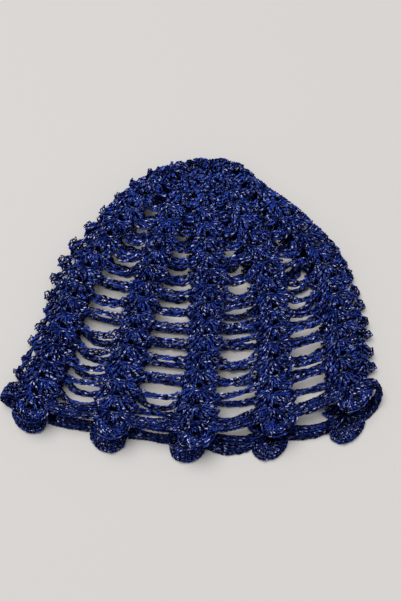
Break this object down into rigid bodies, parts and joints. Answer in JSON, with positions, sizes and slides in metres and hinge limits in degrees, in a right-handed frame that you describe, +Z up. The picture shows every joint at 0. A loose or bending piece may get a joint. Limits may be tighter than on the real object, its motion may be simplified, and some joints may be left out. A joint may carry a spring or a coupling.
{
  "type": "crochet lace hat",
  "caption": "Bell-shaped openwork crochet hat with shell-stitch ribs, hanging chains between them and a scalloped hem, lying flat, hollow and open at the hem.",
  "frame": {"origin": "middle of the bounding box on the surface that the hat lies on", "axes": "+X along the hem, from the left fold to the right; +Y from the hem to the crown; +Z up from the surface, through the back and then the front"},
  "size_m": [0.2606, 0.2332, 0.0164],
  "materials": {
    "crown_yarn": "dense crochet in royal-blue yarn with a silver thread",
    "rib_yarn": "shell stitches and chains in royal-blue yarn with a silver thread",
    "hem_yarn": "close crochet in royal-blue yarn with a silver thread"
  },
  "bodies": {
    "root": {"crown": "crown_yarn", "rib_01": "rib_yarn", "hem_band_01": "hem_yarn", "scallop_01": "hem_yarn", "rib_02": "rib_yarn", "hem_band_02": "hem_yarn", "scallop_02": "hem_yarn", "rib_03": "rib_yarn", "hem_band_03": "hem_yarn", "scallop_03": "hem_yarn", "rib_04": "rib_yarn", "hem_band_04": "hem_yarn", "scallop_04": "hem_yarn", "rib_05": "rib_yarn", "hem_band_05": "hem_yarn", "scallop_05": "hem_yarn", "rib_06": "rib_yarn", "hem_band_06": "hem_yarn", "scallop_06": "hem_yarn", "rib_07": "rib_yarn", "hem_band_07": "hem_yarn", "scallop_07": "hem_yarn", "rib_08": "rib_yarn", "hem_band_08": "hem_yarn", "scallop_08": "hem_yarn", "rib_09": "rib_yarn", "hem_band_09": "hem_yarn", "scallop_09": "hem_yarn", "rib_10": "rib_yarn", "hem_band_10": "hem_yarn", "scallop_10": "hem_yarn"}
  },
  "joints": []
}
